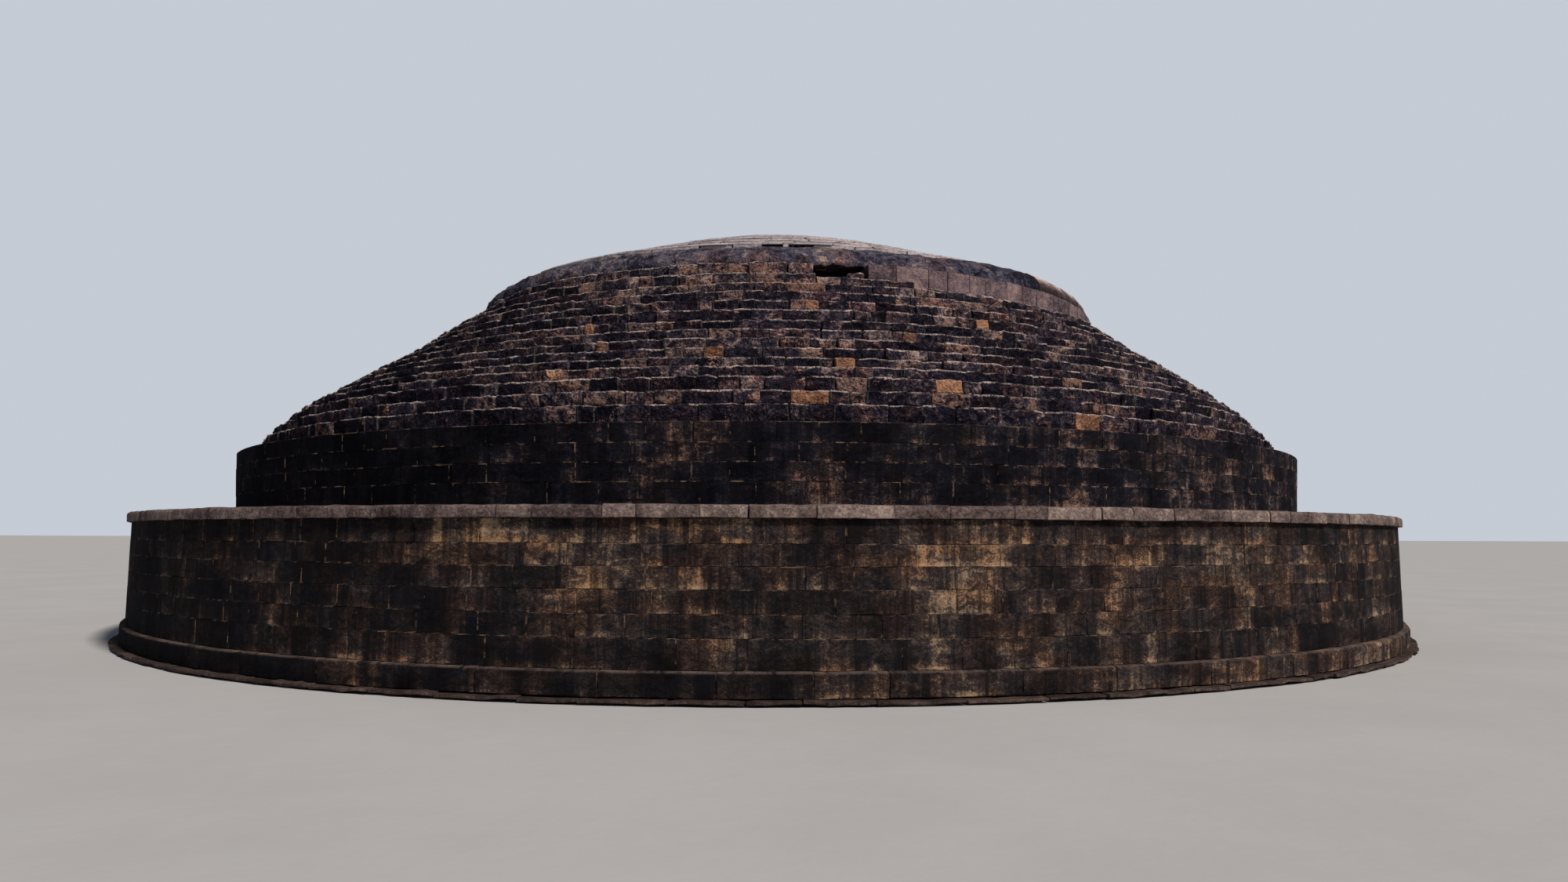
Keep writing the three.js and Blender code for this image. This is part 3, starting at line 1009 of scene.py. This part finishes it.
# %% Measures of the cap
low_corner, high_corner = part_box("cap_low_course")
band_low, band_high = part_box("cap_band")
cap_centre = last.centre
low_course = Course(cap_centre, cap_centre - low_corner.x, low_corner.z, high_corner.z)
low_facing = low_course._replace(radius=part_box("low_facing_2")[1].x - cap_centre)
band = Course(cap_centre, cap_centre - band_low.x, band_low.z, band_high.z)
print("cap: centre", round(cap_centre, 3), "radii", round(low_course.radius, 3), "of the low course,",
      round(low_facing.radius, 3), "of its facing and", round(band.radius, 3), "of the band")

# %% The core of the low course, with the pocket
POCKET = (4.5, 12.0)
POCKET_DEPTH = 0.6
BARE_ARC = (-164.0, POCKET[0])
CORE_BEHIND_CAP = 0.05
CORE_BEHIND_BARE = 0.13
CORE_BELOW_BAND = 0.004
CAP_CORE_CORNERS = 360


def cap_core_radius(azimuth):
    if POCKET[0] < azimuth < POCKET[1]:
        return low_course.radius - POCKET_DEPTH
    if BARE_ARC[0] < azimuth <= POCKET[0]:
        return low_course.radius - CORE_BEHIND_BARE
    return low_facing.radius - CORE_BEHIND_CAP


cap_core = bmesh.new()
bmesh.ops.create_circle(cap_core, segments=CAP_CORE_CORNERS, radius=1, cap_ends=True)
for vert in cap_core.verts:
    azimuth = math.atan2(vert.co.x, -vert.co.y)
    radius = cap_core_radius(math.degrees(azimuth))
    vert.co = (cap_centre + radius * math.sin(azimuth), -radius * math.cos(azimuth), low_course.foot)
bottom = list(cap_core.faces)
top = bmesh.ops.extrude_face_region(cap_core, geom=bottom, use_keep_orig=True)["geom"]
top = [item for item in top if isinstance(item, bmesh.types.BMVert)]
bmesh.ops.translate(cap_core, verts=top, vec=(0, 0, low_course.head - low_course.foot - CORE_BELOW_BAND))
bmesh.ops.recalc_face_normals(cap_core, faces=cap_core.faces)
print("core of the low course:", len(cap_core.verts), "points")
hand_over(cap_core, "cap_core", CORE_FINISH, "rough_stone")

# %% [markdown]
# The left side of the cap is worn back by some centimetres, most of all just behind the edge that is
# seen from the front. The wear fades out both ways along the course, so every row that meets it
# takes its recess from the same function. The dome's last course is laid in three stretches: taller
# stones at the front left, where they reach up to the row of core stones, plain ones below the
# pocket, and from there round the right and the back lower ones, which wear has brought down.

# %% How the left side is worn back
LEFT_SIDE = -95
LEFT_REACH = 70
LEFT_FADE = 40
LEFT_RECESS = 0.09


def eased(part):
    """0 up to 0, 1 from 1 on, and a smooth rise between them."""
    part = min(max(part, 0), 1)
    return part * part * (3 - 2 * part)


def worn_back(azimuth):
    """How far the left side of the cap is worn back."""
    away = abs((math.degrees(azimuth) - LEFT_SIDE + 180) % 360 - 180)
    return LEFT_RECESS * eased((LEFT_REACH - away) / LEFT_FADE)


def receding(course):
    return lambda depth, level, azimuth: (course.radius - depth - worn_back(azimuth), level)


# %% The last course of the dome
TALL_ARC = (-70.0, POCKET[0])
TALL_RISE = 0.04
WORN_ARC = (18.0, 290.0)
WORN_DROP = 0.045

tall = last._replace(head=last.head + TALL_RISE)
worn = last._replace(radius=last.radius - WORN_DROP / 2, head=last.head - WORN_DROP)
count = lay("dome_course_14_tall_stones", tall, ROUGH, seed=65, arc=TALL_ARC, section=receding(tall))
count += lay("dome_course_14_stones", last, ROUGH, seed=64, arc=(TALL_ARC[1], WORN_ARC[0]))
count += lay("dome_course_14_worn_stones", worn, ROUGH, seed=66, nodes=["dome_course_14"],
             arc=WORN_ARC, section=receding(worn))
print("last course of the dome:", count, "stones")

# %% The row of core stones and the loose stone
CORE_ROW = ROUGH._replace(length=0.25, spread=0.3, depth=0.30, joint=0.006, proud=0.018)
CORE_ROW_RISE = 0.045
LOOSE = ROUGH._replace(depth=0.14, arris=0.018)
LOOSE_ARC = (9.0, 11.4)
LOOSE_MARK = (10.2, 0.16, 0.4)
LOOSE_HEIGHT = 0.075
LOOSE_FORWARD = 0.12

core_row = low_course._replace(head=low_course.head + CORE_ROW_RISE)
count = lay("cap_core_row", core_row, CORE_ROW, seed=81, nodes=["cap_low_course"], arc=BARE_ARC,
            section=receding(core_row))
loose = low_course._replace(
    radius=low_course.radius + LOOSE_FORWARD, head=low_course.foot + LOOSE_HEIGHT)
lay("loose_stone", loose, LOOSE, seed=82, arc=LOOSE_ARC, marked=[LOOSE_MARK])
print("row of core stones:", count, "stones")

# %% The low facing
FACING = ASHLAR._replace(finish=FACING_FINISH, slot="facing_stone", length=0.30, spread=0.3, depth=0.34,
                         bed=0.003, arris=0.004, proud=0.005, wave=0.005, cuts=2)
LOW_FACING_ARC = (POCKET[1], 196.0)
FACING_FORWARD = 0.03
FACING_RISE = 0.035

standing_out = low_facing._replace(
    radius=low_facing.radius + FACING_FORWARD, foot=low_facing.foot - WORN_DROP,
    head=low_facing.head + FACING_RISE)
count = lay("low_facing_stones", standing_out, FACING, seed=83,
            nodes=[f"low_facing_{i}" for i in range(1, 5)], arc=LOW_FACING_ARC)
print("low facing:", count, "stones")

# %% [markdown]
# ## The band and the rounded shoulder
#
# Above the low course the cap draws in under a rounded edge. Where the facing is gone this is a band
# of rough stones under a thick crust, and where it is left each stone of the facing is worked to the
# curve. In both, the section turns with the height: a stone's face follows a rounded edge that is a
# little fuller than a quarter of an ellipse, and its depth goes in at right angles to that curve.
# Towards both ends of the band the crust thickens until it is flush with the facing. One pale stone
# stands out at the foot of the band, above the pocket.

# %% A rounded section
CAP_HEAD_RADIUS = 3.66


def rounded(course, fullness):
    """A section that draws in from the course's radius to the head of the cap, round an edge."""
    reach = course.radius - CAP_HEAD_RADIUS
    rise = course.head - course.foot

    def section(depth, level, _):
        turn = math.pi / 2 * min(max((level - course.foot) / rise, 0), 1)
        out, up = math.cos(turn) ** (2 / fullness), math.sin(turn) ** (2 / fullness)
        normal = Vector((out ** (fullness - 1) / reach, up ** (fullness - 1) / rise)).normalized()
        return Vector((CAP_HEAD_RADIUS + reach * out, course.foot + rise * up)) - depth * normal

    return section


# %% How the band meets the facing
HIGH_FACING_ARC = (44.0, 196.0)
SHOULDER_FULLNESS = 2.5
BAND_ARC = (HIGH_FACING_ARC[1] - 360, HIGH_FACING_ARC[0])
BAND_FULLNESS = 2.25
BAND_FOOT_RISE = 0.03
BAND_HEAD_DROP = 0.015
BAND_END = 26

band_row = band._replace(foot=band.foot + BAND_FOOT_RISE, head=band.head - BAND_HEAD_DROP)
bare_section = rounded(band_row, BAND_FULLNESS)
high_facing = low_facing._replace(foot=band.foot, head=band.head)
faced_section = rounded(high_facing, SHOULDER_FULLNESS)


def band_section(depth, level, azimuth):
    """The band's own section, which turns into the facing's towards both of its ends."""
    nearest = min(math.degrees(azimuth) - BAND_ARC[0], BAND_ARC[1] - math.degrees(azimuth))
    share = (level - band_row.foot) / (band_row.head - band_row.foot)
    faced_level = band.foot + share * (band.head - band.foot)
    faced = faced_section(depth, faced_level, azimuth)
    place = bare_section(depth, level, azimuth).lerp(faced, eased(1 - nearest / BAND_END))
    return place - Vector((worn_back(azimuth) * (1 - share), 0))


# %% The band and its pale stone
BAND = ROUGH._replace(finish=BAND_FINISH, slot="blackened_stone", length=0.38, spread=0.35, depth=0.22,
                      joint=0, arris=0.003, proud=0.003, wave=0.018, apart=0, cuts=5, lifts=4,
                      tooling=0.7)
PALE = ROUGH._replace(finish=PALE_FINISH, slot="facing_stone", depth=0.2, arris=0.018)
PALE_ARC = (5.2, 7.0)
PALE_HEIGHT = 0.105
PALE_FORWARD = 0.015

count = lay("band_stones", band_row, BAND, seed=84, nodes=["cap_band"], arc=BAND_ARC,
            section=band_section)
pale = band_row._replace(head=band.foot + PALE_HEIGHT)
pale_section = rounded(band._replace(radius=band.radius + PALE_FORWARD), BAND_FULLNESS)
lay("pale_stone", pale, PALE, seed=85, arc=PALE_ARC, section=pale_section)
print("band:", count, "stones")

# %% The rounded shoulder and the core of the band
SHOULDER = FACING._replace(finish=SHOULDER_FINISH, length=0.38, depth=0.20, lifts=4)
CORE_BEHIND_HEAD = 0.02
CORE_BELOW_CROWN = 0.01

count = lay("high_facing_stones", high_facing, SHOULDER, seed=86,
            nodes=[f"high_facing_{i}" for i in range(1, 4)], arc=HIGH_FACING_ARC,
            section=faced_section)
core_radius = CAP_HEAD_RADIUS - CORE_BEHIND_HEAD
core_head = band.head - CORE_BELOW_CROWN
core_outline = [(0, band.foot), (core_radius, band.foot), (core_radius, core_head), (0, core_head)]
hand_over(spun(core_outline, cap_centre), "band_core", CORE_FINISH, "rough_stone")
print("high facing:", count, "stones")

# %% [markdown]
# ## The crown
#
# The crown is a low mound of flat slabs in mortar. Its edge is a row of thin slabs from which a few
# have fallen at the front, and above it rings of slabs follow the mound's curve. Each slab's outer
# edge stands a little above the ring below, which gives the outline its small steps.

# %% The curve of the crown
CROWN_CURVE = 1.4
CROWN_FOOT_RADIUS = 3.70
SKIRT_RADIUS = 3.33
SLAB_LIFT = 0.018

rim = course_of("crown_rim")
crown_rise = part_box("crown_top")[1].z - rim.foot


def crown_level(radius):
    """The level of the crown at a radius: a rounded mound, with a straight skirt down to the rim."""
    if radius > SKIRT_RADIUS:
        part = (rim.radius - radius) / (rim.radius - SKIRT_RADIUS)
        return rim.head + part * (crown_level(SKIRT_RADIUS) - rim.head)
    return rim.foot + crown_rise * (1 - (abs(radius) / CROWN_FOOT_RADIUS) ** CROWN_CURVE)


def draped(course, width):
    """A row laid on the crown's curve, with its outer edge lifted."""
    def section(depth, level, _):
        radius = course.radius - depth
        lift = SLAB_LIFT * (1 - depth / width)
        return radius, crown_level(radius) + lift + level - course.head

    return section


# %% The slabs of the crown
CROWN_SLAB = ROUGH._replace(finish=CROWN_FINISH, slot="mortared_slabs", length=0.46, spread=0.35,
                            depth=0.45, joint=0.010, proud=0.012, wave=0.007, grain=0.2, lifts=0)
FALLEN_SLABS = ((-1.45, 0.21, MISSING), (0.75, 0.07, 0.0), (3.35, 0.26, MISSING))
SLAB_THICKNESS = 0.028
RINGS = {"crown_skirt": 2, "crown_slope": 2, "crown_mound": 3, "crown_top": 3}
HUB_RADIUS = 0.24

count = lay("crown_rim_slabs", rim, CROWN_SLAB, seed=90, nodes=["crown_rim"], marked=FALLEN_SLABS)
bounds = [course_of(node).radius for node in RINGS] + [HUB_RADIUS]
for place, (node, rings) in enumerate(RINGS.items()):
    width = (bounds[place] - bounds[place + 1]) / rings
    for i in range(rings):
        outer = bounds[place] - i * width
        ring = Course(cap_centre, outer, 0, SLAB_THICKNESS)
        slab = CROWN_SLAB._replace(length=min(CROWN_SLAB.length, outer / 2), depth=width - CROWN_SLAB.joint)
        count += lay(f"{node}_slabs_{i + 1}", ring, slab, seed=91 + 4 * place + i, nodes=[node],
                     section=draped(ring, width))
print("crown:", count, "slabs")

# %% [markdown]
# Under the slabs lies a bed of mortar, spun to the same curve and a little lower, which shows as the
# bottom of their joints. A round slab closes the middle, with its upper edge cut off at a slant.

# %% The bed of the crown and its middle slab
BED_RADIUS = 3.3
BED_BELOW_RIM = 0.02
BED_BELOW_SLABS = 0.022
BED_STEPS = 12
HUB_JOINT = 0.01
HUB_DROP = 0.006
HUB_THICKNESS = 0.05
HUB_SLANT_IN = 0.015
HUB_SLANT_DOWN = 0.012

bed_foot = rim.foot - BED_BELOW_RIM
bed_outline = [(0, bed_foot), (BED_RADIUS, bed_foot)]
for i in range(BED_STEPS + 1):
    radius = BED_RADIUS * (1 - i / BED_STEPS)
    bed_outline.append((radius, crown_level(radius) - BED_BELOW_SLABS))
hand_over(spun(bed_outline, cap_centre), "crown_bed", CROWN_BED_FINISH, "mortared_slabs")
hub_head = crown_level(0) - HUB_DROP
hub_foot = hub_head - HUB_THICKNESS
hub_radius = HUB_RADIUS - HUB_JOINT
hub_outline = [(0, hub_foot), (hub_radius, hub_foot), (hub_radius, hub_head - HUB_SLANT_DOWN),
               (hub_radius - HUB_SLANT_IN, hub_head), (0, hub_head)]
hand_over(spun(hub_outline, cap_centre), "crown_hub", CROWN_BED_FINISH, "mortared_slabs")
print("crown: middle slab at", round(hub_head, 3), "m")

# %% [markdown]
# ## The floor
#
# The floor is a plain pale plane that belongs to the stage. It is far wider than the stupa, so its
# edge lies on the horizon from every side.

# %% The floor
FLOOR_SPAN = 1600

ground = bmesh.new()
bmesh.ops.create_grid(ground, x_segments=1, y_segments=1, size=FLOOR_SPAN / 2)
floor = mesh_object(ground, "floor", FLOOR_FINISH)
print("floor:", FLOOR_SPAN, "m wide")
